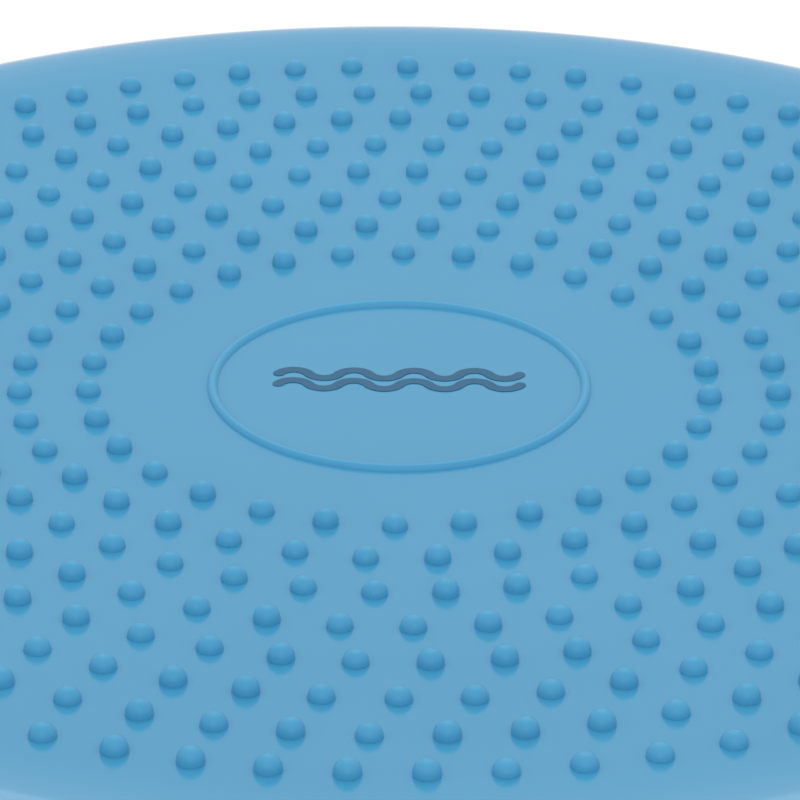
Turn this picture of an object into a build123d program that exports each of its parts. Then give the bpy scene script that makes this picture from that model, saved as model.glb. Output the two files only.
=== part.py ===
"""Wobble cushion: a round air-filled disc of soft PVC for balance exercises.

Two moulded skins are welded together at a bead round the rim and hold the air between them.
The upper skin carries a field of massage nubs round a plain central panel. A needle valve with
a push-in plug sits in the side of the lower skin.

Frame: millimetres, +Z up, origin at the centre of the face that the cushion stands on.
The valve is at +X. +Y is the far side when the mark on the panel is read.
"""

import os
from math import asin, cos, pi, sin, sqrt, radians

from build123d import *

# --- Overall form ---------------------------------------------------------------------------
overall_radius = 165.0      # to the outside of the rim bead
crest_height = 54.0         # between the upper and the lower crest, before the base flattens
rest_flattening = 0.4       # how far the lower crest is pressed flat where it stands
side_radius = 45.0          # section radius of the bulging side
shoulder_radius = 15.0      # section radius where the side turns over on to the top
dish_radius = 1900.0        # radius of the shallow hollow across the top and the underside
skin_thickness = 4.0

# --- Rim bead -------------------------------------------------------------------------------
bead_height = 2.6
bead_proud = 0.8            # how far the bead stands out from the side
bead_inside = 0.6           # how far it stands into the air space

# --- Upper skin: central panel and nubs -----------------------------------------------------
panel_ring_radius = 30.85
panel_ring_section = 0.9    # radius of the half-round ring
nub_radius = 2.05           # each nub is the upper half of a ball
nub_lift = 0.1              # how far the ball's middle stands over the skin
first_nub_ring = 51.2
nub_ring_spacing = 11.25
first_ring_nubs = 30
nubs_more_per_ring = 6.4    # rounded to whole nubs in each ring
nub_edge_margin = 14.0      # plain skin between the last ring and the crest
ring_start_angles = [5.4, 5.5, 7.7, 7.1, 2.8, 3.0, 3.4, 3.0]   # from the inside, then over again

# --- Lower skin: grip dots ------------------------------------------------------------------
dot_radius = 3.0
dot_height = 1.2
first_dot_ring = 45.0
dot_ring_spacing = 16.0
dot_pitch = 16.0
dot_edge_margin = 32.0

# --- Printed mark ---------------------------------------------------------------------------
ink_thickness = 0.12
wave_bow = 5.0              # chord of one bow of the wave
wave_bows = 8
wave_rise = 1.5             # height of a bow above its chord
wave_line = 1.9
wave_gap = 3.9              # between the middles of the two lines of the mark
mark_shift = 1.9            # towards the far side of the panel

# --- Valve ----------------------------------------------------------------------------------
valve_dip = 16.0            # degrees that the valve points below level
pocket_depth = 2.6
flange_radius = 8.2
flange_thickness = 1.2
pocket_clearance = 0.3
barrel_radius = 5.0
barrel_length = 9.0
boss_wall = 2.0             # skin round the barrel
boss_length = 8.0           # from the pocket floor into the air space
core_radius = 3.4
core_lip = 1.0              # how far the inner lip of the core overlaps the barrel's end
core_lip_thickness = 1.4
glue_gap = 0.05             # between pieces bonded into each other
plug_neck_length = 2.0
plug_head_radius = 6.0
plug_head_thickness = 1.4
pin_radius = 0.95
pin_length = 7.0            # beyond the neck
running_gap = 0.05          # between the plug and what it slides in

# --- Worked out from the sizes above --------------------------------------------------------
seam_z = crest_height / 2 - rest_flattening
half_height = crest_height / 2
bead_half = bead_height / 2
skin_radius = overall_radius - bead_proud
side_centre = skin_radius - side_radius
turn_angle = asin((half_height - shoulder_radius) / (side_radius - shoulder_radius))
crest_radius = side_centre + (side_radius - shoulder_radius) * cos(turn_angle)
shoulder_height = half_height - shoulder_radius
dish_centre = shoulder_height + sqrt((dish_radius + shoulder_radius) ** 2 - crest_radius**2)
dish_slope = asin(crest_radius / (dish_radius + shoulder_radius))


def dish_level(radius, inset=0.0):
    """Height of the dished face above the seam, at this distance from the axis."""
    return dish_centre - sqrt((dish_radius + inset) ** 2 - radius**2)


def dish_line(from_radius, to_radius, inset):
    """The dished face's line between two distances from the axis."""
    ends = (from_radius, (from_radius + to_radius) / 2, to_radius)
    ThreePointArc(*[(radius, dish_level(radius, inset)) for radius in ends])


def side_level(inset, height):
    """Distance from the axis to the side, at this height above the seam."""
    return side_centre + sqrt((side_radius - inset) ** 2 - height**2)


def face_line(inset):
    """One face of a half's wall, from the bead up over the shoulder to the axis.

    It is drawn in X and Y above the seam. inset is 0 for the outer face and the skin's
    thickness for the inner one. It gives back its two ends.
    """
    side = side_radius - inset
    shoulder = shoulder_radius - inset
    start_angle = asin(bead_half / side)
    mid_side = (start_angle + turn_angle) / 2
    end_angle = pi / 2 + dish_slope
    mid_shoulder = (turn_angle + end_angle) / 2
    foot = (side_level(inset, bead_half), bead_half)
    on_side = (side_centre + side * cos(mid_side), side * sin(mid_side))
    turn = (side_centre + side * cos(turn_angle), side * sin(turn_angle))
    on_shoulder = (
        crest_radius + shoulder * cos(mid_shoulder),
        shoulder_height + shoulder * sin(mid_shoulder),
    )
    edge = (
        crest_radius + shoulder * cos(end_angle),
        shoulder_height + shoulder * sin(end_angle),
    )
    ThreePointArc(foot, on_side, turn)
    ThreePointArc(turn, on_shoulder, edge)
    if inset:
        dish_line(edge[0], 0, inset)
    else:
        ring_outside = panel_ring_radius + panel_ring_section
        ring_inside = panel_ring_radius - panel_ring_section
        ring_crest = (panel_ring_radius, dish_level(panel_ring_radius) + panel_ring_section)
        dish_line(edge[0], ring_outside, inset)
        ThreePointArc(
            (ring_outside, dish_level(ring_outside)),
            ring_crest,
            (ring_inside, dish_level(ring_inside)),
        )
        dish_line(ring_inside, 0, inset)
    return foot, (0, dish_level(0, inset))


def wall_outline():
    """The closed outline of one half's wall."""
    outer_foot, outer_middle = face_line(0)
    inner_foot, inner_middle = face_line(skin_thickness)
    Line(outer_middle, inner_middle)
    Line(inner_foot, outer_foot)


def lower_face_point(dip):
    """Point on the outside of the lower half, at +X, where the skin faces this far below level."""
    if dip <= turn_angle:
        return Vector(side_centre + side_radius * cos(dip), 0, seam_z - side_radius * sin(dip))
    drop = shoulder_height + shoulder_radius * sin(dip)
    return Vector(crest_radius + shoulder_radius * cos(dip), 0, seam_z - drop)


# The upper half is drawn on a plane whose Y is up, and the lower half on the same plane turned
# over about the X axis, so that both skins come from one outline.
upper_section = Plane(origin=(0, 0, seam_z), x_dir=(1, 0, 0), z_dir=(0, -1, 0))
lower_section = Plane(origin=(0, 0, seam_z), x_dir=(1, 0, 0), z_dir=(0, 1, 0))

valve_tilt = radians(valve_dip)
valve_out = Vector(cos(valve_tilt), 0, -sin(valve_tilt))
valve_mouth = lower_face_point(valve_tilt)
valve_plane = Plane(origin=valve_mouth, x_dir=(0, 1, 0), z_dir=valve_out)
pocket_floor = valve_plane.offset(-pocket_depth)
flange_face = pocket_floor.offset(flange_thickness)
barrel_end = pocket_floor.offset(-barrel_length)
core_face = flange_face.offset(-plug_neck_length - running_gap)
pocket_radius = flange_radius + pocket_clearance
boss_radius = barrel_radius + boss_wall
plug_neck_radius = core_radius + glue_gap - running_gap
core_length = barrel_length + flange_thickness - plug_neck_length - running_gap


def ring_spots(radius, count, start_angle=0.0):
    """Places spaced evenly round a ring, upright, with X pointing away from the axis."""
    return PolarLocations(radius, count, start_angle=start_angle)


# --- Upper skin -----------------------------------------------------------------------------
nub_ring_room = crest_radius - nub_edge_margin - first_nub_ring
nub_ring_count = int(nub_ring_room / nub_ring_spacing) + 1

with BuildPart() as upper_skin:
    with BuildSketch(upper_section):
        with BuildLine():
            wall_outline()
        make_face()
    revolve(axis=Axis.Z)
    for ring in range(nub_ring_count):
        ring_radius = first_nub_ring + ring * nub_ring_spacing
        nub_count = round(first_ring_nubs + ring * nubs_more_per_ring)
        start_angle = ring_start_angles[ring % len(ring_start_angles)]
        with Locations((0, 0, seam_z + dish_level(ring_radius) + nub_lift)):
            with ring_spots(ring_radius, nub_count, start_angle):
                # A quarter turn puts the seam of the ball's surface in line with the ring.
                Sphere(nub_radius, rotation=(0, 0, 90))

# --- Lower skin -----------------------------------------------------------------------------
dot_ring_room = crest_radius - dot_edge_margin - first_dot_ring
dot_ring_count = int(dot_ring_room / dot_ring_spacing) + 1

with BuildPart() as lower_skin:
    with BuildSketch(lower_section):
        with BuildLine():
            wall_outline()
        make_face()
    revolve(axis=Axis.Z)
    for ring in range(dot_ring_count):
        ring_radius = first_dot_ring + ring * dot_ring_spacing
        dot_count = round(2 * pi * ring_radius / dot_pitch)
        with Locations((0, 0, seam_z - dish_level(ring_radius))):
            with ring_spots(ring_radius, dot_count):
                Cylinder(dot_radius, 2 * dot_height)
    with BuildSketch(pocket_floor):
        Circle(boss_radius)
    extrude(amount=-boss_length)
    with BuildSketch(pocket_floor):
        Circle(pocket_radius)
    extrude(amount=2 * pocket_depth, mode=Mode.SUBTRACT)
    with BuildSketch(pocket_floor):
        Circle(barrel_radius + glue_gap)
    extrude(amount=-2 * boss_length, mode=Mode.SUBTRACT)
    split(bisect_by=Plane.XY, keep=Keep.TOP)

# --- Rim bead, welded between the two skins -------------------------------------------------
with BuildPart() as rim_seam:
    with BuildSketch(upper_section):
        with BuildLine():
            outer_edge = side_level(0, bead_half)
            inner_edge = side_level(skin_thickness, bead_half)
            ThreePointArc((outer_edge, -bead_half), (overall_radius, 0), (outer_edge, bead_half))
            Line((outer_edge, bead_half), (inner_edge, bead_half))
            inner_crest = inner_edge - bead_inside
            ThreePointArc((inner_edge, bead_half), (inner_crest, 0), (inner_edge, -bead_half))
            Line((inner_edge, -bead_half), (outer_edge, -bead_half))
        make_face()
    revolve(axis=Axis.Z)

# --- Printed mark: two wavy lines across the central panel ----------------------------------
with BuildPart() as printed_mark:
    with BuildSketch(Plane.XY.offset(seam_z)):
        for line_y in (mark_shift - wave_gap / 2, mark_shift + wave_gap / 2):
            with BuildLine():
                for bow in range(wave_bows):
                    bow_start = (bow - wave_bows / 2) * wave_bow
                    rise = wave_rise if bow % 2 == 0 else -wave_rise
                    start = (bow_start, line_y)
                    middle = (bow_start + wave_bow / 2, line_y + rise)
                    end = (bow_start + wave_bow, line_y)
                    ThreePointArc(start, middle, end)
            trace(line_width=wave_line)
    extrude(amount=half_height)
    with BuildSketch(upper_section):
        with BuildLine():
            panel_radius = panel_ring_radius - panel_ring_section
            dish_line(0, panel_radius, 0)
            dish_line(panel_radius, 0, -ink_thickness)
            Line((0, dish_level(0)), (0, dish_level(0, -ink_thickness)))
            panel_edge = (panel_radius, dish_level(panel_radius))
            Line(panel_edge, (panel_radius, dish_level(panel_radius, -ink_thickness)))
        make_face()
    revolve(axis=Axis.Z, mode=Mode.INTERSECT)

# --- Valve collar, bonded into the boss of the lower skin -----------------------------------
with BuildPart() as valve_collar:
    with BuildSketch(pocket_floor):
        Circle(flange_radius)
    extrude(amount=flange_thickness)
    with BuildSketch(pocket_floor):
        Circle(barrel_radius)
    extrude(amount=-barrel_length)
    with BuildSketch(flange_face):
        Circle(core_radius + glue_gap)
    extrude(amount=-barrel_length - flange_thickness, mode=Mode.SUBTRACT)

# --- Valve core: the rubber that closes on the pump's needle --------------------------------
with BuildPart() as valve_core:
    with BuildSketch(core_face):
        Circle(core_radius)
    extrude(amount=-core_length)
    with BuildSketch(barrel_end):
        Circle(core_radius + core_lip)
    extrude(amount=-core_lip_thickness)
    with BuildSketch(core_face):
        Circle(pin_radius + running_gap)
    extrude(amount=-core_length - core_lip_thickness, mode=Mode.SUBTRACT)

# --- Valve plug -----------------------------------------------------------------------------
with BuildPart() as valve_plug:
    with BuildSketch(flange_face):
        Circle(plug_head_radius)
    extrude(amount=plug_head_thickness)
    head_top = valve_plug.faces().sort_by(Axis(valve_mouth, valve_out))[-1]
    fillet(head_top.edges(), plug_head_thickness / 2)
    with BuildSketch(flange_face):
        Circle(plug_neck_radius)
    extrude(amount=-plug_neck_length)
    with BuildSketch(flange_face.offset(-plug_neck_length)):
        Circle(pin_radius)
    extrude(amount=-pin_length)

# --- Files ----------------------------------------------------------------------------------
upper_skin.part.label = "upper_skin"
lower_skin.part.label = "lower_skin"
rim_seam.part.label = "rim_seam"
printed_mark.part.label = "printed_mark"
valve_collar.part.label = "valve_collar"
valve_core.part.label = "valve_core"
valve_plug.part.label = "valve_plug"

os.makedirs("parts", exist_ok=True)
export_step(upper_skin.part, "parts/upper_skin.step")
export_step(lower_skin.part, "parts/lower_skin.step")
export_step(rim_seam.part, "parts/rim_seam.step")
export_step(printed_mark.part, "parts/printed_mark.step")
export_step(valve_collar.part, "parts/valve_collar.step")
export_step(valve_core.part, "parts/valve_core.step")
export_step(valve_plug.part, "parts/valve_plug.step")

print("nub rings", nub_ring_count, "dot rings", dot_ring_count)
print("crest radius", round(crest_radius, 2), "panel height", round(seam_z + dish_level(0), 2))
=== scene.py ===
from math import asin, atan2, cos, pi, radians, sin, sqrt

import bmesh
import bpy
from bpy.props import (
    FloatProperty,
    FloatVectorProperty,
    IntProperty,
    PointerProperty,
)
from mathutils import Matrix, Vector, noise
from mathutils.geometry import area_tri, delaunay_2d_cdt


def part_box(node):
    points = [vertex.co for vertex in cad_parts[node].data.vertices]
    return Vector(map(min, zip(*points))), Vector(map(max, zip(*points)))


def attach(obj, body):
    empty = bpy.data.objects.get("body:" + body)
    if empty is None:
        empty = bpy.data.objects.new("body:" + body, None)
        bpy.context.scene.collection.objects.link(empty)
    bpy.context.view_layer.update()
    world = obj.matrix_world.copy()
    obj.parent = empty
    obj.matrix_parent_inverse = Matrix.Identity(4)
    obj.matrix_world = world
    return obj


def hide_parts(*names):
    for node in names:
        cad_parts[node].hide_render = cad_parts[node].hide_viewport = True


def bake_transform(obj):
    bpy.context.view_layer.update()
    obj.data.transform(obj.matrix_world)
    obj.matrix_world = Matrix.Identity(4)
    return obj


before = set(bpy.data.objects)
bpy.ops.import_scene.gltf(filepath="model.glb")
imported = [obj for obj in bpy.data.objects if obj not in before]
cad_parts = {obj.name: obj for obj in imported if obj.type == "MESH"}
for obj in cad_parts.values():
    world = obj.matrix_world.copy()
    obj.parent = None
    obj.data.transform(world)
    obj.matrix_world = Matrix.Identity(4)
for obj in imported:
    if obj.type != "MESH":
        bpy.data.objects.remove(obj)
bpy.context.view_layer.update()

bl_info = {
    "name": "Wobble cushion",
    "version": (1, 0, 0),
    "blender": (4, 5, 0),
    "location": "3D View > Sidebar > Cushion",
    "description": "Makes the skins, rim bead, mark, valve finishes and studio of a wobble cushion",
    "category": "Object",
}

# Everything below is in metres, in the frame of the packed parts: +Z up, the origin at the centre
# of the face that the cushion stands on, the valve at +X.

RIM_LOW, RIM_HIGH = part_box("rim_seam")
OVERALL_RADIUS = RIM_HIGH[0]
SEAM_Z = (RIM_LOW[2] + RIM_HIGH[2]) / 2
BEAD_HALF = (RIM_HIGH[2] - RIM_LOW[2]) / 2


# --- Settings that a user would change -------------------------------------------------------


def length(name, description, default):
    """A setting in metres."""
    return FloatProperty(name=name, description=description, default=default, unit="LENGTH")


def colour(name, description, default):
    """A setting that holds a colour."""
    return FloatVectorProperty(
        name=name, description=description, default=default, subtype="COLOR", size=3,
        min=0.0, max=1.0,
    )


class CushionForm(bpy.types.PropertyGroup):
    """The cushion's section: side, shoulder, dish and wall."""

    overall_radius: length("Overall radius", "Axis to the outside of the rim bead", OVERALL_RADIUS)
    bead_proud: length("Bead proud", "How far the rim bead stands out from the side", 0.0008)
    half_height: length("Half height", "Seam to the crest of either face", 0.027)
    side_radius: length("Side radius", "Section radius of the bulging side", 0.045)
    shoulder_radius: length(
        "Shoulder radius", "Section radius where the side turns on to a face", 0.015,
    )
    dish_radius: length("Dish radius", "Radius of the shallow hollow across a face", 1.9)
    wall: length("Wall", "Thickness of a skin", 0.004)
    softness: length("Softness", "Height of the slow waves in a filled soft face", 0.00016)


class NubSettings(bpy.types.PropertyGroup):
    """The raised ring and the nubs of the upper skin."""

    panel_ring: length("Panel ring", "Radius of the raised ring round the central panel", 0.03085)
    ring_section: length("Ring section", "Radius of the raised ring's half-round section", 0.0009)
    radius: length("Nub radius", "Radius of a half-ball nub", 0.00205)
    lift: length("Nub lift", "Height of the ball's middle over the skin", 0.0001)
    tall_share: FloatProperty(
        name="Tall share", description="Share of the nubs that came out of the mould taller",
        default=0.07, subtype="FACTOR", min=0.0, max=1.0,
    )
    tall_lift: length(
        "Tall lift", "Height of the ball's middle over the skin in a taller nub", 0.0004,
    )
    first_ring: length("First ring", "Radius of the innermost ring of nubs", 0.0512)
    ring_spacing: length("Ring spacing", "Between one ring of nubs and the next", 0.01125)
    rings: IntProperty(name="Rings", description="Rings of nubs", default=8)
    first_count: FloatProperty(
        name="First count", description="Nubs in the innermost ring", default=30.0,
    )
    more_per_ring: FloatProperty(
        name="More per ring", description="Nubs that each ring has over the last, before rounding",
        default=6.4,
    )
    sides: IntProperty(name="Sides", description="Segments round a nub", default=20)


class DotSettings(bpy.types.PropertyGroup):
    """The low grip dots of the lower skin."""

    radius: length("Dot radius", "Radius of a grip dot", 0.003)
    height: length("Dot height", "Height of a grip dot", 0.0012)
    first_ring: length("First ring", "Radius of the innermost ring of dots", 0.045)
    spacing: length("Spacing", "Between rings, and along a ring", 0.016)
    rings: IntProperty(name="Rings", description="Rings of dots", default=5)


class ValveSettings(bpy.types.PropertyGroup):
    """The pocket in the side of the lower skin that the valve sits in."""

    dip: FloatProperty(
        name="Dip", description="How far the valve points below level",
        default=radians(16.0), subtype="ANGLE",
    )
    pocket_depth: length("Pocket depth", "Skin's face to the pocket's floor", 0.0026)
    pocket_radius: length("Pocket radius", "Radius of the pocket", 0.0085)
    bore_radius: length("Bore radius", "Radius of the hole for the collar's barrel", 0.00505)
    boss_radius: length("Boss radius", "Radius of the boss inside the skin", 0.007)
    boss_length: length("Boss length", "Pocket's floor to the boss's end", 0.008)


class MarkSettings(bpy.types.PropertyGroup):
    """The printed pair of wavy lines on the central panel."""

    bow: length("Bow", "Chord of one bow of the wave", 0.005)
    bows: IntProperty(name="Bows", description="Bows along a line", default=8)
    rise: length("Rise", "Height of a bow above its chord", 0.0015)
    line: length("Line", "Width of a printed line", 0.0019)
    gap: length("Gap", "Between the middles of the lines", 0.0039)
    shift: length("Shift", "Towards the far side of the panel", 0.0019)
    film: length("Film", "Thickness of the ink", 0.00012)


class FinishSettings(bpy.types.PropertyGroup):
    """The colours of the pieces."""

    skin: colour("Skin", "Soft PVC of the skins", (0.058, 0.325, 0.551))
    skin_deep: colour("Skin, deep", "Darker cast in the soft PVC", (0.052, 0.309, 0.531))
    # Painted sheen: a paler skin colour on the crest and the shoulder, standing in for light that
    # grazes them.
    skin_painted_sheen: colour(
        "Skin, rubbed", "Soft PVC where the crest is rubbed pale", (0.112, 0.362, 0.588),
    )
    # Painted light: the nubs and the ring get a paler, cyaner copy of the skin colour, standing in
    # for the light on their shaded lower sides.
    raised: FloatVectorProperty(
        name="Raised", description="Cast of the nubs and the ring against the skin",
        subtype="COLOR", size=3, default=(1.40, 1.13, 1.11), soft_max=1.5,
    )
    ink: colour("Ink", "Printed mark", (0.006, 0.114, 0.231))
    collar: colour("Collar", "Valve collar", (0.06, 0.22, 0.40))
    core: colour("Core", "Rubber of the valve core", (0.012, 0.012, 0.014))
    plug: colour("Plug", "Plastic of the plug", (0.70, 0.73, 0.75))
    floor: colour("Floor", "Studio floor", (0.96, 0.96, 0.96))


class StudioSettings(bpy.types.PropertyGroup):
    """The camera and the lights."""

    elevation: FloatProperty(
        name="Elevation", description="Camera's angle above level",
        default=radians(26.07), subtype="ANGLE",
    )
    roll: FloatProperty(
        name="Roll", description="Camera's turn about its own line of sight",
        default=radians(0.33), subtype="ANGLE",
    )
    distance: length("Distance", "Camera to the middle of the central panel", 0.682)
    lens: FloatProperty(name="Lens", description="Focal length in millimetres", default=185.7)
    shift_across: FloatProperty(
        name="Shift across", description="Sideways lens shift, as a share of the picture's width",
        default=0.001,
    )
    shift_up: FloatProperty(
        name="Shift up", description="Upward lens shift, as a share of the picture's width",
        default=-0.0203,
    )
    key: FloatProperty(name="Key", description="Power of the overhead softbox", default=5.0)
    fill: FloatProperty(name="Fill", description="Power of the front fill", default=8.4)
    sky: FloatProperty(name="Sky", description="Strength of the white room", default=0.80)


SETTINGS = {
    "cushion_form": CushionForm,
    "cushion_nubs": NubSettings,
    "cushion_dots": DotSettings,
    "cushion_valve": ValveSettings,
    "cushion_mark": MarkSettings,
    "cushion_finish": FinishSettings,
    "cushion_studio": StudioSettings,
}


# --- The cushion's section -------------------------------------------------------------------


class Section:
    """Half of the cushion's section, with heights taken from the seam.

    inset is 0 for the outer face of a skin and the wall's thickness for the inner face.
    """

    def __init__(self, form):
        self.side = form.side_radius
        self.shoulder = form.shoulder_radius
        self.dish = form.dish_radius
        self.side_centre = form.overall_radius - form.bead_proud - self.side
        rise = form.half_height - self.shoulder
        reach = self.side - self.shoulder
        self.turn_angle = asin(rise / reach)
        self.crest_radius = self.side_centre + reach * cos(self.turn_angle)
        self.shoulder_height = rise
        arm = self.dish + self.shoulder
        self.dish_centre = rise + sqrt(arm**2 - self.crest_radius**2)
        self.dish_slope = asin(self.crest_radius / arm)

    def dish_level(self, radius, inset=0.0):
        """Height of the dished face at this distance from the axis."""
        return self.dish_centre - sqrt((self.dish + inset) ** 2 - radius**2)

    def on_side(self, angle, inset):
        """Point of the side's arc, as (distance from the axis, height)."""
        arm = self.side - inset
        return self.side_centre + arm * cos(angle), arm * sin(angle)

    def on_shoulder(self, angle, inset):
        """Point of the shoulder's arc, as (distance from the axis, height)."""
        arm = self.shoulder - inset
        return self.crest_radius + arm * cos(angle), self.shoulder_height + arm * sin(angle)

    def foot_angle(self, inset):
        """Where the side's arc meets the bead."""
        return asin(BEAD_HALF / (self.side - inset))

    def edge_rows(self, inset, side_rows, shoulder_rows):
        """Rows from the bead over the side and the shoulder to the edge of the dish."""
        start = self.foot_angle(inset)
        rows = []
        for i in range(side_rows):
            rows.append(self.on_side(start + (self.turn_angle - start) * i / side_rows, inset))
        end = pi / 2 + self.dish_slope
        for i in range(shoulder_rows + 1):
            angle = self.turn_angle + (end - self.turn_angle) * i / shoulder_rows
            rows.append(self.on_shoulder(angle, inset))
        return rows

    def side_distance(self, height, inset):
        """Distance from the axis to the side or the shoulder at this height."""
        turn_height = (self.side - inset) * sin(self.turn_angle)
        if height <= turn_height:
            return self.side_centre + sqrt((self.side - inset) ** 2 - height**2)
        over = min(height - self.shoulder_height, self.shoulder - inset)
        return self.crest_radius + sqrt((self.shoulder - inset) ** 2 - over**2)

    def along(self, height, inset):
        """Length along the side and the shoulder from the seam's level up to this height."""
        arm = self.side - inset
        turn_height = arm * sin(self.turn_angle)
        if height <= turn_height:
            return arm * asin(height / arm)
        arc = self.shoulder - inset
        over = min((height - self.shoulder_height) / arc, 1.0)
        return arm * self.turn_angle + arc * (asin(over) - self.turn_angle)


WAVES_PER_METRE = 16.0
WAVE_SLICE = 3.7                        # the level of the noise that the waves are cut from


def slow_waves(x, y, height):
    """The faint unevenness of a soft filled face, as a height."""
    return height * noise.noise(Vector((x * WAVES_PER_METRE, y * WAVES_PER_METRE, WAVE_SLICE)))


def upper_level(section, softness):
    """Gives the function that tells the height of the upper face's plain skin."""

    def level(x, y):
        radius = sqrt(x * x + y * y)
        return SEAM_Z + section.dish_level(radius) + slow_waves(x, y, softness)

    return level


# --- Mesh making -----------------------------------------------------------------------------

# A face with less area than this joins points that stand in one line.
SMALLEST_FACE = 1e-10
SAME_POINT = 1e-7                       # points nearer than this count as one
MOULDED_CREASE = 48.0                   # degrees
TOP_RISE = 0.09                         # of a nub's or dot's middle point, for the row's radius


class MeshMaker:
    """Gathers the points and faces of one piece."""

    def __init__(self):
        self.points = []
        self.faces = []
        self.raised = []

    def loop(self, points):
        """Adds a closed row of points and gives their numbers."""
        start = len(self.points)
        self.points.extend(points)
        return list(range(start, len(self.points)))

    def circle(self, radius, height, sides, turn=0.0):
        """Adds a level circle round the axis."""
        angles = [turn + 2 * pi * i / sides for i in range(sides)]
        return self.loop([(radius * cos(a), radius * sin(a), height) for a in angles])

    def bridge(self, first, second):
        """Joins two closed rows of the same count with four-sided faces."""
        count = len(first)
        for i in range(count):
            j = (i + 1) % count
            self.faces.append((first[i], first[j], second[j], second[i]))

    def skin_over(self, rows):
        """Joins each closed row to the next."""
        for first, second in zip(rows, rows[1:]):
            self.bridge(first, second)

    def cap(self, row, middle):
        """Closes a row with a fan of faces to one middle point."""
        centre = self.loop([middle])[0]
        for i in range(len(row)):
            self.faces.append((row[i], row[(i + 1) % len(row)], centre))

    def patch(self, loops, loose, flat):
        """Fills the space inside the first closed row and outside the others.

        flat gives each point's place in the plane, by its number. A face whose corners all
        belong to one of the other rows lies inside that row and is left out.
        """
        numbers, places, edges, owner = [], [], [], []
        for index, row in enumerate(loops):
            start = len(numbers)
            for i, point in enumerate(row):
                numbers.append(point)
                places.append(Vector(flat(point)))
                owner.append(index)
                edges.append((start + i, start + (i + 1) % len(row)))
        for point in loose:
            numbers.append(point)
            places.append(Vector(flat(point)))
            owner.append(-1)
        found = delaunay_2d_cdt(places, edges, [], 0, SAME_POINT)
        source = [origin[0] for origin in found[3]]
        for corners in found[2]:
            corners = [source[c] for c in corners]
            owners = {owner[c] for c in corners}
            if len(owners) == 1 and owners.pop() > 0:
                continue
            if area_tri(*[places[c] for c in corners]) > SMALLEST_FACE:
                self.faces.append(tuple(numbers[c] for c in corners))

    def finish(self, name, crease=MOULDED_CREASE):
        """Makes the object, smooth but for edges sharper than crease degrees."""
        mesh = bpy.data.meshes.new(name)
        mesh.from_pydata([tuple(p) for p in self.points], [], self.faces)
        mesh.update()
        mesh.validate()
        mesh.polygons.foreach_set("use_smooth", [True] * len(mesh.polygons))
        mesh.set_sharp_from_angle(angle=radians(crease))
        piece = bpy.data.objects.new(name, mesh)
        bpy.context.scene.collection.objects.link(piece)
        clean_mesh(piece)
        return piece


def clean_mesh(piece):
    """Drops the points that no face uses, and turns every face to look out."""
    made = bmesh.new()
    made.from_mesh(piece.data)
    unused = [point for point in made.verts if not point.link_faces]
    bmesh.ops.delete(made, geom=unused, context="VERTS")
    bmesh.ops.recalc_face_normals(made, faces=made.faces)
    made.to_mesh(piece.data)
    made.free()


def nub_profile(radius, lift):
    """A nub's half section, from the plain skin round it to just short of its top.

    The nub is a half ball on a short stem. Each point is (distance from its axis, height).
    """
    rows = [(radius * 1.25, 0.0), (radius, 0.0)]
    for angle in (0.0, 16.0, 32.0, 48.0, 64.0, 79.0):
        a = radians(angle)
        rows.append((radius * cos(a), lift + radius * sin(a)))
    return rows


def dot_profile(radius, height, edge, apron):
    """A grip dot's half section: a low flat disc with a rounded edge."""
    rows = [(radius + edge + apron, 0.0), (radius + edge, 0.0)]
    rows.append((radius + edge * 0.4, height * 0.12))
    rows.append((radius, height * 0.5))
    rows.append((radius - edge * 0.45, height * 0.88))
    rows.append((radius - edge * 1.4, height))
    rows.append((radius * 0.35, height * 1.03))
    return rows


def raise_feature(maker, x, y, profile, level, sides, turn, up):
    """Builds one nub or dot on a face and gives the outer row that the skin joins."""
    rows = []
    first = len(maker.faces)
    for reach, height in profile:
        row = []
        for i in range(sides):
            a = turn + 2 * pi * i / sides
            px, py = x + reach * cos(a), y + reach * sin(a)
            row.append((px, py, level(px, py) + up * height))
        rows.append(maker.loop(row))
    maker.skin_over(rows)
    top = profile[-1][1] + profile[-1][0] * TOP_RISE
    maker.cap(rows[-1], (x, y, level(x, y) + up * top))
    maker.raised += range(first + sides, len(maker.faces))
    return rows[0]


def ring_of(radius, count, start=0.0):
    """Places spaced evenly round a ring."""
    for i in range(count):
        angle = start + 2 * pi * i / count
        yield radius * cos(angle), radius * sin(angle)


# --- Materials -------------------------------------------------------------------------------


def new_group(name, inputs, outputs):
    """A shader node group with these sockets, each (name, type, default)."""
    group = bpy.data.node_groups.new(name, "ShaderNodeTree")
    for label, kind, default in inputs:
        socket = group.interface.new_socket(label, in_out="INPUT", socket_type=kind)
        socket.default_value = default
    for label, kind in outputs:
        group.interface.new_socket(label, in_out="OUTPUT", socket_type=kind)
    return group


def node(tree, kind, x, y, **values):
    """A node at a place in the tree, with its plain properties set."""
    made = tree.nodes.new(kind)
    made.location = (x, y)
    for key, value in values.items():
        setattr(made, key, value)
    return made


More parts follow.
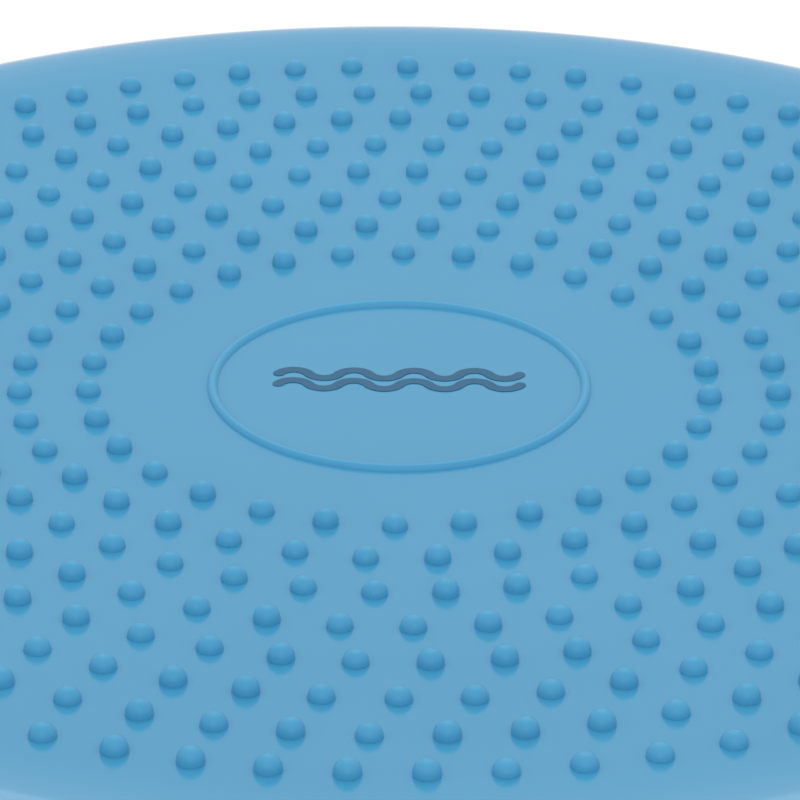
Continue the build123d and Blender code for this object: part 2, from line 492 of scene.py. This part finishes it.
def moulded_grain_group():
    """Colour cast, gloss and fine grain of moulded plastic or rubber, in object space."""
    name = "Moulded grain"
    if name in bpy.data.node_groups:
        return bpy.data.node_groups[name]
    group = new_group(
        name,
        [
            ("Pale", "NodeSocketColor", (0.8, 0.8, 0.8, 1.0)),
            ("Deep", "NodeSocketColor", (0.6, 0.6, 0.6, 1.0)),
            ("Cloud Scale", "NodeSocketFloat", 18.0),
            ("Grain Scale", "NodeSocketFloat", 1500.0),
            ("Gloss", "NodeSocketFloat", 0.45),
            ("Gloss Spread", "NodeSocketFloat", 0.08),
        ],
        [
            ("Color", "NodeSocketColor"),
            ("Roughness", "NodeSocketFloat"),
            ("Height", "NodeSocketFloat"),
        ],
    )
    link = group.links.new
    given = node(group, "NodeGroupInput", -900, 0)
    out = node(group, "NodeGroupOutput", 600, 0)
    place = node(group, "ShaderNodeTexCoord", -900, -320)
    cloud = node(group, "ShaderNodeTexNoise", -600, 200)
    cloud.inputs["Detail"].default_value = 3.0
    grain = node(group, "ShaderNodeTexNoise", -600, -120)
    grain.inputs["Detail"].default_value = 4.0
    grain.inputs["Roughness"].default_value = 0.62
    pores = node(group, "ShaderNodeTexVoronoi", -600, -420, feature="F1")
    link(place.outputs["Object"], cloud.inputs["Vector"])
    link(place.outputs["Object"], grain.inputs["Vector"])
    link(place.outputs["Object"], pores.inputs["Vector"])
    link(given.outputs["Cloud Scale"], cloud.inputs["Scale"])
    link(given.outputs["Grain Scale"], grain.inputs["Scale"])
    link(given.outputs["Grain Scale"], pores.inputs["Scale"])
    spread = node(group, "ShaderNodeMapRange", -380, 200)
    spread.inputs["From Min"].default_value = 0.32
    spread.inputs["From Max"].default_value = 0.68
    link(cloud.outputs["Fac"], spread.inputs["Value"])
    tint = node(group, "ShaderNodeMix", 0, 200, data_type="RGBA")
    link(spread.outputs["Result"], tint.inputs["Factor"])
    link(given.outputs["Deep"], tint.inputs["A"])
    link(given.outputs["Pale"], tint.inputs["B"])
    link(tint.outputs["Result"], out.inputs["Color"])
    centred = node(group, "ShaderNodeMath", -180, 0, operation="SUBTRACT")
    centred.inputs[1].default_value = 0.5
    link(grain.outputs["Fac"], centred.inputs[0])
    swing = node(group, "ShaderNodeMath", 0, 0, operation="MULTIPLY_ADD")
    link(centred.outputs["Value"], swing.inputs[0])
    link(given.outputs["Gloss Spread"], swing.inputs[1])
    link(given.outputs["Gloss"], swing.inputs[2])
    link(swing.outputs["Value"], out.inputs["Roughness"])
    relief = node(group, "ShaderNodeMath", 0, -260, operation="MULTIPLY_ADD")
    relief.inputs[1].default_value = 0.35
    link(pores.outputs["Distance"], relief.inputs[0])
    link(grain.outputs["Fac"], relief.inputs[2])
    link(relief.outputs["Value"], out.inputs["Height"])
    return group


def moulded_material(name, pale, deep, grain, gloss, spread, relief, cloud=18.0, **shader):
    """A material of moulded stock. shader sets sockets of its Principled BSDF."""
    material = bpy.data.materials.new(name)
    material.use_nodes = True
    tree = material.node_tree
    bsdf = tree.nodes["Principled BSDF"]
    finish = node(tree, "ShaderNodeGroup", -700, 100, node_tree=moulded_grain_group())
    finish.inputs["Pale"].default_value = (*pale, 1.0)
    finish.inputs["Deep"].default_value = (*deep, 1.0)
    finish.inputs["Cloud Scale"].default_value = cloud
    finish.inputs["Grain Scale"].default_value = grain
    finish.inputs["Gloss"].default_value = gloss
    finish.inputs["Gloss Spread"].default_value = spread
    bump = node(tree, "ShaderNodeBump", -320, -200)
    bump.inputs["Strength"].default_value = 1.0
    bump.inputs["Distance"].default_value = relief
    tree.links.new(finish.outputs["Color"], bsdf.inputs["Base Color"])
    tree.links.new(finish.outputs["Roughness"], bsdf.inputs["Roughness"])
    tree.links.new(finish.outputs["Height"], bump.inputs["Height"])
    tree.links.new(bump.outputs["Normal"], bsdf.inputs["Normal"])
    for socket, value in shader.items():
        bsdf.inputs[socket.replace("_", " ")].default_value = value
    return material


def skin_material(name="Soft PVC", cast=(1.0, 1.0, 1.0), gloss=0.16, shine=0.5):
    """Glossy soft PVC, shared by both skins. cast multiplies its colour; a paler cast is painted
    light.
    """
    if name in bpy.data.materials:
        return bpy.data.materials[name]
    finish = bpy.context.scene.cushion_finish
    pale = [channel * share for channel, share in zip(finish.skin, cast)]
    deep = [channel * share for channel, share in zip(finish.skin_deep, cast)]
    material = moulded_material(
        name, pale, deep, grain=1400.0, gloss=gloss, spread=0.05, relief=0.000003, IOR=1.5,
        Specular_IOR_Level=shine,
    )
    # Paints a paler sheen on the crest and the shoulder.
    add_painted_sheen(material, finish.skin_painted_sheen)
    return material


# Painted sheen: a paler colour laid round the crest and the shoulder of both skins, where grazing
# light makes the soft PVC look paler.
SHEEN_MASK = "rub"
SHEEN_START, SHEEN_END = 0.137, 0.150       # distance from the axis
SHEEN_LOW, SHEEN_HIGH = 0.010, 0.022        # height over or under the seam


def ease(low, high, value):
    """0 up to low, 1 from high, and a smooth rise between them."""
    share = min(1.0, max(0.0, (value - low) / (high - low)))
    return share * share * (3 - 2 * share)


def mark_painted_sheen(piece):
    """Stores at each point how much painted sheen the crest and the shoulder get, from 0 to 1."""
    values = []
    for point in piece.data.vertices:
        x, y, z = point.co
        across = ease(SHEEN_START, SHEEN_END, sqrt(x * x + y * y))
        values.append(across * ease(SHEEN_LOW, SHEEN_HIGH, abs(z - SEAM_Z)))
    piece.data.attributes.new(SHEEN_MASK, "FLOAT", "POINT").data.foreach_set("value", values)


def add_painted_sheen(material, lit):
    """Turns a material's colour to the paler painted-sheen colour where the mask says so."""
    tree = material.node_tree
    bsdf = tree.nodes["Principled BSDF"]
    plain = bsdf.inputs["Base Color"].links[0].from_socket
    mask = node(tree, "ShaderNodeAttribute", -560, 420, attribute_name=SHEEN_MASK)
    tint = node(tree, "ShaderNodeMix", -320, 300, data_type="RGBA")
    tint.inputs["B"].default_value = (*lit, 1.0)
    tree.links.new(mask.outputs["Fac"], tint.inputs["Factor"])
    tree.links.new(plain, tint.inputs["A"])
    tree.links.new(tint.outputs["Result"], bsdf.inputs["Base Color"])


def dress(piece, material):
    """Gives a piece or a CAD node one material over all."""
    slots = piece.data.materials
    if len(slots) == 0:
        slots.append(material)
    for i in range(len(slots)):
        slots[i] = material
    for polygon in piece.data.polygons:
        polygon.material_index = 0


def dress_skin(piece, raised):
    """Gives a skin a painted sheen on its crest, and the faces that stand up from it a paler cast
    of painted light.
    """
    mark_painted_sheen(piece)
    dress(piece, skin_material())
    # The nubs and the ring get a paler copy of the skin material: painted light on their shaded
    # sides.
    cast = bpy.context.scene.cushion_finish.raised
    piece.data.materials.append(skin_material("Soft PVC, raised", cast, gloss=0.28, shine=0.18))
    for number in raised:
        piece.data.polygons[number].material_index = 1


# --- Pieces ----------------------------------------------------------------------------------

RING_START_DEGREES = (5.4, 5.5, 7.7, 7.1, 2.8, 3.0, 3.4, 3.0)   # one for each ring of nubs
NUB_SHIFT = 0.00018                     # how far a nub may stand off its even place
EDGE_SIDES = 192
PANEL_SIDES = 144
RIB_STEPS = 12
RIB_FIRST_ROW = 2                       # the row of panel_rows where the raised ring starts
PANEL_SHARES = (0.75, 0.6, 0.45, 0.3, 0.16, 0.07)
INNER_SHARES = (0.8, 0.55, 0.3, 0.1)
FIELD_MARGIN = 0.0062                   # plain skin beside the first and the last ring of nubs

DOT_SIDES = 24
DOT_EDGE, DOT_APRON = 0.0007, 0.0006
CALM_RADIUS = 0.13                      # the underside has no slow waves from here out
STAND_BAND = 0.004                      # width of the band that lies flat
DOT_MARGIN = 0.016                      # plain skin outside the last ring of dots

VALVE_TURNS = 48
VALVE_WINDOW = 16                       # points of a row to each side of the valve's patch
OUTER_PATCH_ROWS = 18                   # rows from the bead that the valve's patch reaches over
INNER_PATCH_ROWS = 12
OUTER_CLEAR, INNER_CLEAR = 0.0017, 0.0007
# Rows of the pocket's rounded mouth: (outside the pocket's wall, below the skin).
MOUTH_ROWS = ((0.0011, 0.0), (0.0005, 0.0), (0.00015, 0.00012), (0.0, 0.0005))
POCKET_FOOT = 0.0003
SKIN_NEAR, SKIN_FAR = -0.004, 0.012     # depths between which the skin is looked for
HALVINGS = 40

BEAD_SIDES = 360
BEAD_STEPS, BEAD_INNER_STEPS = 8, 4
BEAD_INSIDE = 0.0006                    # how far the bead stands into the air space
MELT_SCALE, MELT_SLICE = 30.0, 1.5
MELT_MEAN, MELT_SPREAD = 0.82, 0.18

WAVE_STEPS = 14                         # in one bow of the mark
END_STEPS = 6
FILM_CREASE = 60.0                      # degrees


def panel_rows(nubs, inner_edge):
    """Rows of the central panel with its raised ring, from the nub field to near the axis.

    Each row is (distance from the axis, rise over the skin).
    """
    ring, rib = nubs.panel_ring, nubs.ring_section
    apron = 2 * rib
    rows = [(inner_edge, 0.0), (ring + rib + apron, 0.0)]
    for i in range(RIB_STEPS + 1):
        across = cos(pi * i / RIB_STEPS)
        rows.append((ring + rib * across, rib * (1 - across**2) ** 0.8))
    rows.append((ring - rib - apron, 0.0))
    rows += [(ring * share, 0.0) for share in PANEL_SHARES]
    return rows


def inner_face(maker, section, wall, side_rows, shoulder_rows, way):
    """Adds the rows of a skin's inner face. way is 1 for the upper skin and -1 for the lower."""
    edge = section.edge_rows(wall, side_rows, shoulder_rows)
    inside = [maker.circle(radius, SEAM_Z + way * height, EDGE_SIDES) for radius, height in edge]
    for share in INNER_SHARES:
        radius = edge[-1][0] * share
        height = SEAM_Z + way * section.dish_level(radius, wall)
        inside.append(maker.circle(radius, height, EDGE_SIDES))
    return inside


class CUSHION_OT_upper_skin(bpy.types.Operator):
    """Make the upper skin, with its panel ring and nubs, from the bead to the axis"""

    bl_idname = "cushion.upper_skin"
    bl_label = "Upper skin"

    def execute(self, context):
        scene = context.scene
        form, nubs = scene.cushion_form, scene.cushion_nubs
        section = Section(form)
        maker = MeshMaker()
        level = upper_level(section, form.softness)

        last_ring = nubs.first_ring + (nubs.rings - 1) * nubs.ring_spacing
        inner_edge = nubs.first_ring - FIELD_MARGIN
        outer_edge = last_ring + FIELD_MARGIN
        loops, loose = [], []
        for ring in range(nubs.rings):
            radius = nubs.first_ring + ring * nubs.ring_spacing
            count = round(nubs.first_count + ring * nubs.more_per_ring)
            start = radians(RING_START_DEGREES[ring])
            for index, (x, y) in enumerate(ring_of(radius, count, start)):
                chance = noise.cell(Vector((index * 1.7 + 0.3, ring * 2.3 + 0.3, 0.5)))
                lift = nubs.tall_lift if chance < nubs.tall_share else nubs.lift
                shift = noise.cell_vector(Vector((index * 1.3 + 0.6, ring * 3.1 + 0.6, 4.5)))
                x += NUB_SHIFT * (shift.x - 0.5)
                y += NUB_SHIFT * (shift.y - 0.5)
                profile = nub_profile(nubs.radius, lift)
                turn = atan2(y, x)
                loops.append(raise_feature(maker, x, y, profile, level, nubs.sides, turn, 1.0))
            if ring + 1 < nubs.rings:
                between = radius + nubs.ring_spacing / 2
                for x, y in ring_of(between, 2 * count, start / 2):
                    loose += maker.loop([(x, y, level(x, y))])

        rows = []
        for radius, rise in panel_rows(nubs, inner_edge):
            ring = [(x, y, level(x, y) + rise) for x, y in ring_of(radius, PANEL_SIDES)]
            rows.append(maker.loop(ring))
        rib_start = len(maker.faces) + RIB_FIRST_ROW * PANEL_SIDES
        maker.skin_over(rows)
        maker.raised += range(rib_start, rib_start + RIB_STEPS * PANEL_SIDES)
        maker.cap(rows[-1], (0.0, 0.0, level(0.0, 0.0)))

        edge = section.edge_rows(0.0, side_rows=8, shoulder_rows=12)
        outside = [maker.circle(radius, SEAM_Z + height, EDGE_SIDES) for radius, height in edge]
        middle_radius = (outer_edge + edge[-1][0]) / 2
        for radius in (middle_radius, outer_edge):
            ring = [(x, y, level(x, y)) for x, y in ring_of(radius, EDGE_SIDES)]
            outside.append(maker.loop(ring))
        maker.skin_over(outside)
        maker.patch(
            [outside[-1], rows[0]] + loops, loose,
            lambda point: maker.points[point][:2],
        )

        inside = inner_face(maker, section, form.wall, side_rows=4, shoulder_rows=6, way=1)
        maker.skin_over(inside)
        maker.cap(inside[-1], (0.0, 0.0, SEAM_Z + section.dish_level(0.0, form.wall)))
        maker.bridge(outside[0], inside[0])

        piece = maker.finish("upper_skin_moulding")
        dress_skin(piece, maker.raised)
        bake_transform(piece)
        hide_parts("upper_skin")
        return {"FINISHED"}


class ValveFrame:
    """The valve's own axes: across, up the side, and out along its axis."""

    def __init__(self, section, valve):
        out_x, out_z = cos(valve.dip), -sin(valve.dip)
        self.out = Vector((out_x, 0.0, out_z))
        self.up = Vector((-out_z, 0.0, out_x))
        self.across = Vector((0.0, 1.0, 0.0))
        mouth_r, mouth_h = section.on_side(valve.dip, 0.0)
        self.mouth = Vector((mouth_r, 0.0, SEAM_Z - mouth_h))
        self.section = section

    def point(self, radius, angle, depth):
        """A point round the valve's axis, depth below its mouth."""
        flat = self.across * (radius * cos(angle)) + self.up * (radius * sin(angle))
        return self.mouth + flat - self.out * depth

    def on_skin(self, radius, angle, inset, below=0.0):
        """The point of the skin's face that lies over this place, or a little below the face."""
        near, far = SKIN_NEAR, SKIN_FAR
        for _ in range(HALVINGS):
            depth = (near + far) / 2
            place = self.point(radius, angle, depth)
            height = SEAM_Z - place.z
            reach = sqrt(place.x**2 + place.y**2)
            if reach > self.section.side_distance(height, inset):
                near = depth
            else:
                far = depth
        return self.point(radius, angle, (near + far) / 2 + below)


class CUSHION_OT_lower_skin(bpy.types.Operator):
    """Make the lower skin, with its grip dots, the band it stands on and the valve's pocket"""

    bl_idname = "cushion.lower_skin"
    bl_label = "Lower skin"

    def execute(self, context):
        scene = context.scene
        form, nubs, dots = scene.cushion_form, scene.cushion_nubs, scene.cushion_dots
        valve = scene.cushion_valve
        section = Section(form)
        frame_of_valve = ValveFrame(section, valve)
        maker = MeshMaker()

        def level(x, y):
            radius = sqrt(x * x + y * y)
            calm = max(0.0, 1.0 - radius / CALM_RADIUS)
            wave = slow_waves(x + 0.4, y, form.softness) * min(1.0, 3 * calm)
            return max(0.0, SEAM_Z - section.dish_level(radius) - wave)

        loops, loose = [], []
        profile = dot_profile(dots.radius, dots.height, DOT_EDGE, DOT_APRON)
        for ring in range(dots.rings):
            radius = dots.first_ring + ring * dots.spacing
            count = round(2 * pi * radius / dots.spacing)
            for x, y in ring_of(radius, count):
                turn = atan2(y, x)
                loops.append(raise_feature(maker, x, y, profile, level, DOT_SIDES, turn, -1.0))
            for x, y in ring_of(radius + dots.spacing / 2, 2 * count):
                loose += maker.loop([(x, y, level(x, y))])
        last_ring = dots.first_ring + (dots.rings - 1) * dots.spacing

        rows = []
        inner_edge = dots.first_ring - dots.spacing * 0.4
        for radius, rise in panel_rows(nubs, inner_edge):
            ring = [(x, y, level(x, y) - rise) for x, y in ring_of(radius, PANEL_SIDES)]
            rows.append(maker.loop(ring))
        maker.skin_over(rows)
        maker.cap(rows[-1], (0.0, 0.0, level(0.0, 0.0)))

        edge = section.edge_rows(0.0, side_rows=8, shoulder_rows=14)
        outside = []
        for radius, height in edge:
            outside.append(maker.circle(radius, max(0.0, SEAM_Z - height), EDGE_SIDES))
        stand_start = sqrt(section.dish**2 - (section.dish_centre - SEAM_Z) ** 2)
        for radius in (stand_start, stand_start - STAND_BAND, last_ring + DOT_MARGIN):
            ring = [(x, y, level(x, y)) for x, y in ring_of(radius, EDGE_SIDES)]
            outside.append(maker.loop(ring))
        maker.skin_over(outside[OUTER_PATCH_ROWS:])
        maker.patch(
            [outside[-1], rows[0]] + loops, loose,
            lambda point: maker.points[point][:2],
        )

        inside = inner_face(maker, section, form.wall, side_rows=6, shoulder_rows=8, way=-1)
        maker.skin_over(inside[INNER_PATCH_ROWS:])
        maker.cap(inside[-1], (0.0, 0.0, SEAM_Z - section.dish_level(0.0, form.wall)))
        maker.bridge(outside[0], inside[0])

        turns = [2 * pi * i / VALVE_TURNS for i in range(VALVE_TURNS)]
        pocket, bore = valve.pocket_radius, valve.bore_radius
        boss, depth = valve.boss_radius, valve.pocket_depth
        on_skin, point = frame_of_valve.on_skin, frame_of_valve.point
        well = [[on_skin(pocket + out, a, 0.0, below) for a in turns] for out, below in MOUTH_ROWS]
        well += [
            [point(pocket, a, depth - POCKET_FOOT) for a in turns],
            [point(pocket - POCKET_FOOT, a, depth) for a in turns],
            [point(bore, a, depth) for a in turns],
            [point(bore, a, depth + valve.boss_length) for a in turns],
            [point(boss, a, depth + valve.boss_length) for a in turns],
            [on_skin(boss, a, form.wall) for a in turns],
        ]
        well = [maker.loop(row) for row in well]
        maker.skin_over(well)
        outer_rows = outside[: OUTER_PATCH_ROWS + 1]
        inner_rows = inside[: INNER_PATCH_ROWS + 1]
        self.side_patch(maker, frame_of_valve, outer_rows, well[0], 0.0, pocket + OUTER_CLEAR)
        self.side_patch(
            maker, frame_of_valve, inner_rows, well[-1], form.wall, boss + INNER_CLEAR,
        )

        piece = maker.finish("lower_skin_moulding")
        dress_skin(piece, maker.raised)
        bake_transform(piece)
        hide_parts("lower_skin")
        return {"FINISHED"}

    def side_patch(self, maker, axes, rows, hole, inset, clear):
        """Fills the side between rows of points, all but the hole for the valve."""
        section, window = axes.section, VALVE_WINDOW
        reach = section.crest_radius + section.shoulder
        lengths = {}
        for number in sum(rows, []) + hole:
            x, y, z = maker.points[number]
            lengths[number] = (atan2(y, x) * reach, section.along(SEAM_Z - z, inset))
        count = len(rows[0])
        for first, second in zip(rows, rows[1:]):
            for i in range(window, count - window):
                j = (i + 1) % count
                maker.faces.append((first[i], first[j], second[j], second[i]))
        columns = [i % count for i in range(-window, window + 1)]
        outline = [rows[0][i] for i in columns]
        outline += [row[columns[-1]] for row in rows[1:-1]]
        outline += [rows[-1][i] for i in reversed(columns)]
        outline += [row[columns[0]] for row in reversed(rows[1:-1])]
        loose = []
        for row in rows[1:-1]:
            for i in columns[1:-1]:
                away = Vector(maker.points[row[i]]) - axes.mouth
                across, up = away.dot(axes.across), away.dot(axes.up)
                if sqrt(across**2 + up**2) > clear:
                    loose.append(row[i])
        maker.patch([outline, hole], loose, lambda number: lengths[number])


class CUSHION_OT_rim_bead(bpy.types.Operator):
    """Make the weld bead between the two skins"""

    bl_idname = "cushion.rim_bead"
    bl_label = "Rim bead"

    def execute(self, context):
        form = context.scene.cushion_form
        section = Section(form)
        maker = MeshMaker()
        outer = section.side_distance(BEAD_HALF, 0.0)
        inner = section.side_distance(BEAD_HALF, form.wall)
        rows = []
        for i in range(BEAD_STEPS + 1):
            share = i / BEAD_STEPS
            height = BEAD_HALF * (2 * share - 1)
            proud = (OVERALL_RADIUS - outer) * sin(pi * share) ** 0.7
            row = []
            for j in range(BEAD_SIDES):
                angle = 2 * pi * j / BEAD_SIDES
                place = Vector((cos(angle) * MELT_SCALE, sin(angle) * MELT_SCALE, MELT_SLICE))
                melt = MELT_MEAN + MELT_SPREAD * noise.noise(place)
                radius = outer + proud * melt
                row.append((radius * cos(angle), radius * sin(angle), SEAM_Z + height))
            rows.append(maker.loop(row))
        for i in range(BEAD_INNER_STEPS + 1):
            share = i / BEAD_INNER_STEPS
            height = BEAD_HALF * (1 - 2 * share)
            radius = inner - BEAD_INSIDE * sin(pi * share)
            rows.append(maker.circle(radius, SEAM_Z + height, BEAD_SIDES))
        maker.skin_over(rows)
        maker.bridge(rows[-1], rows[0])
        piece = maker.finish("rim_bead")
        finish = context.scene.cushion_finish
        material = moulded_material(
            "Weld bead", finish.skin_deep, [c * 0.86 for c in finish.skin_deep], grain=900.0,
            gloss=0.34, spread=0.12, relief=0.00003, IOR=1.5,
        )
        dress(piece, material)
        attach(piece, "belt")
        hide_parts("rim_seam")
        return {"FINISHED"}


class CUSHION_OT_printed_mark(bpy.types.Operator):
    """Print the two wavy lines on the central panel"""

    bl_idname = "cushion.printed_mark"
    bl_label = "Printed mark"

    def execute(self, context):
        scene = context.scene
        form, mark = scene.cushion_form, scene.cushion_mark
        section = Section(form)
        maker = MeshMaker()
        level = upper_level(section, form.softness)

        for line_y in (mark.shift - mark.gap / 2, mark.shift + mark.gap / 2):
            self.wave(maker, mark, line_y, level)
        piece = maker.finish("printed_wave_mark", crease=FILM_CREASE)
        finish = scene.cushion_finish
        material = moulded_material(
            "Ink", finish.ink, [c * 0.9 for c in finish.ink], grain=2600.0, gloss=0.55,
            spread=0.2, relief=0.00001, cloud=220.0, IOR=1.45,
        )
        dress(piece, material)
        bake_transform(piece)
        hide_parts("printed_mark")
        return {"FINISHED"}

    def wave(self, maker, mark, line_y, level):
        """One wavy line with round ends, as a film that follows the panel."""
        path = []
        arc_radius = (mark.bow**2 / 4 + mark.rise**2) / (2 * mark.rise)
        half_turn = asin(mark.bow / 2 / arc_radius)
        for bow in range(mark.bows):
            side = 1.0 if bow % 2 == 0 else -1.0
            middle = (bow - mark.bows / 2 + 0.5) * mark.bow
            for i in range(WAVE_STEPS + (bow == mark.bows - 1)):
                angle = half_turn * (2 * i / WAVE_STEPS - 1)
                x = middle + arc_radius * sin(angle)
                y = line_y + side * (arc_radius * cos(angle) - (arc_radius - mark.rise))
                path.append((Vector((x, y)), Vector((side * sin(angle), cos(angle)))))
        half = mark.line / 2
        left, right = [], []
        for place, normal in path:
            left.append(place + normal * half)
            right.append(place - normal * half)
        start_turn = path[0][1].angle_signed(Vector((0.0, 1.0)))
        start = self.round_end(path[0][0], half, pi / 2 + start_turn, 1.0)
        end_turn = path[-1][1].angle_signed(Vector((0.0, 1.0)))
        end = self.round_end(path[-1][0], half, pi / 2 + end_turn, -1.0)
        outline = left + end + list(reversed(right)) + start
        lift = mark.film
        upper = maker.loop([(p.x, p.y, level(p.x, p.y) + lift) for p in outline])
        lower = maker.loop([(p.x, p.y, level(p.x, p.y) - lift) for p in outline])
        maker.bridge(upper, lower)
        count = len(left)
        tail = len(end)
        for top in (upper, lower):
            near = list(reversed(top[count + tail : 2 * count + tail]))
            for i in range(count - 1):
                maker.faces.append((top[i], top[i + 1], near[i + 1], near[i]))
            maker.faces.append(tuple(top[count - 1 : count + tail + 1]))
            maker.faces.append(tuple(top[2 * count + tail - 1 :]) + (top[0],))

    def round_end(self, place, half, turn, side):
        """Points of a round end, from one edge of the line to the other."""
        points = []
        for i in range(1, END_STEPS):
            turned = pi * i / END_STEPS
            angle = turn - turned if side < 0 else turn + pi - turned
            points.append(place + Vector((cos(angle) * half, sin(angle) * half)))
        return points


# The valve's part, its material, how dark the deep cast is, and the material's own values.
VALVE_FINISHES = (
    ("collar", "Collar plastic", 0.8,
     {"grain": 2200.0, "gloss": 0.32, "spread": 0.12, "relief": 0.00001, "cloud": 160.0}),
    ("core", "Core rubber", 0.7,
     {"grain": 1800.0, "gloss": 0.62, "spread": 0.2, "relief": 0.00003, "cloud": 300.0}),
    ("plug", "Plug plastic", 0.92,
     {"grain": 2400.0, "gloss": 0.3, "spread": 0.14, "relief": 0.00001, "cloud": 200.0}),
)


class CUSHION_OT_valve(bpy.types.Operator):
    """Finish the valve's collar, core and plug"""

    bl_idname = "cushion.valve"
    bl_label = "Valve"

    def execute(self, context):
        finish = context.scene.cushion_finish
        for part, label, darker, values in VALVE_FINISHES:
            pale = getattr(finish, part)
            deep = [c * darker for c in pale]
            material = moulded_material(label, pale, deep, IOR=1.5, **values)
            dress(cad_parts["valve_" + part], material)
        return {"FINISHED"}


OVERHEAD_PLACE, OVERHEAD_SIZE = (0.0, 0.75, 1.2), 1.2
FILL_PLACE, FILL_SIZE = (0.0, -1.7, 1.1), 1.8
FLOOR_SIZE, FLOOR_CELLS = 6.0, 12


class CUSHION_OT_studio(bpy.types.Operator):
    """Make the floor, the room, the lights and the camera"""

    bl_idname = "cushion.studio"
    bl_label = "Studio"

    def execute(self, context):
        scene = context.scene
        studio, finish = scene.cushion_studio, scene.cushion_finish
        form = scene.cushion_form
        self.make_floor(finish.floor)
        self.make_room(scene, studio.sky)
        self.make_light("Overhead", OVERHEAD_PLACE, OVERHEAD_SIZE, studio.key)
        self.make_light("Fill", FILL_PLACE, FILL_SIZE, studio.fill)
        section = Section(form)
        ring = scene.cushion_nubs.panel_ring
        target = Vector((0.0, 0.0, SEAM_Z + section.dish_level(ring)))
        back = Vector((0.0, -cos(studio.elevation), sin(studio.elevation)))
        lens = bpy.data.cameras.new("Camera")
        lens.lens = studio.lens
        lens.shift_x = studio.shift_across
        lens.shift_y = studio.shift_up
        lens.clip_start, lens.clip_end = 0.01, 50.0
        camera = bpy.data.objects.new("Camera", lens)
        scene.collection.objects.link(camera)
        camera.location = target + back * studio.distance
        look = (-back).to_track_quat("-Z", "Y").to_matrix()
        turn = Matrix.Rotation(studio.roll, 3, "Z")
        camera.rotation_euler = (look @ turn).to_euler()
        scene.camera = camera
        scene.view_settings.view_transform = "Standard"
        return {"FINISHED"}

    def make_floor(self, pale):
        """A wide pale floor with a fine mottle."""
        maker = MeshMaker()
        size, count = FLOOR_SIZE, FLOOR_CELLS
        grid = []
        for i in range(count + 1):
            row = [
                (size * (j / count - 0.5), size * (i / count - 0.5), 0.0)
                for j in range(count + 1)
            ]
            grid.append(maker.loop(row))
        for low, high in zip(grid, grid[1:]):
            for j in range(count):
                maker.faces.append((low[j], low[j + 1], high[j + 1], high[j]))
        floor = maker.finish("studio_floor")
        material = moulded_material(
            "Studio paper", pale, [c * 0.99 for c in pale], grain=300.0, gloss=0.9,
            spread=0.05, relief=0.00001, IOR=1.3,
        )
        dress(floor, material)

    def make_room(self, scene, strength):
        """An even white room."""
        room = bpy.data.worlds.new("Room")
        room.use_nodes = True
        background = room.node_tree.nodes["Background"]
        background.inputs["Color"].default_value = (1.0, 1.0, 1.0, 1.0)
        background.inputs["Strength"].default_value = strength
        scene.world = room

    def make_light(self, name, place, size, power):
        """A square softbox that looks at the origin."""
        data = bpy.data.lights.new(name, "AREA")
        data.size = size
        data.energy = power
        lamp = bpy.data.objects.new(name, data)
        bpy.context.scene.collection.objects.link(lamp)
        lamp.location = place
        lamp.rotation_euler = Vector(place).to_track_quat("Z", "Y").to_euler()


# --- Panel, registration and the run ---------------------------------------------------------

OPERATORS = (
    CUSHION_OT_upper_skin,
    CUSHION_OT_lower_skin,
    CUSHION_OT_rim_bead,
    CUSHION_OT_printed_mark,
    CUSHION_OT_valve,
    CUSHION_OT_studio,
)


class CUSHION_PT_panel(bpy.types.Panel):
    """Lists the cushion's pieces and their settings"""

    bl_idname = "CUSHION_PT_panel"
    bl_label = "Wobble cushion"
    bl_space_type = "VIEW_3D"
    bl_region_type = "UI"
    bl_category = "Cushion"

    def draw(self, context):
        layout = self.layout
        for operator in OPERATORS:
            layout.operator(operator.bl_idname)
        for name, group in SETTINGS.items():
            box = layout.box()
            box.label(text=group.__doc__)
            settings = getattr(context.scene, name)
            for key in group.__annotations__:
                box.prop(settings, key)


CLASSES = (*SETTINGS.values(), *OPERATORS, CUSHION_PT_panel)


def register():
    """Registers every class and hangs the settings on the scene."""
    for made in CLASSES:
        bpy.utils.register_class(made)
    for name, group in SETTINGS.items():
        setattr(bpy.types.Scene, name, PointerProperty(type=group))


def unregister():
    """Takes the settings and the classes away again."""
    for name in SETTINGS:
        delattr(bpy.types.Scene, name)
    for made in reversed(CLASSES):
        bpy.utils.unregister_class(made)


def main():
    register()
    bpy.ops.cushion.studio()
    bpy.ops.cushion.upper_skin()
    bpy.ops.cushion.lower_skin()
    bpy.ops.cushion.rim_bead()
    bpy.ops.cushion.printed_mark()
    bpy.ops.cushion.valve()


if __name__ == "__main__":
    main()
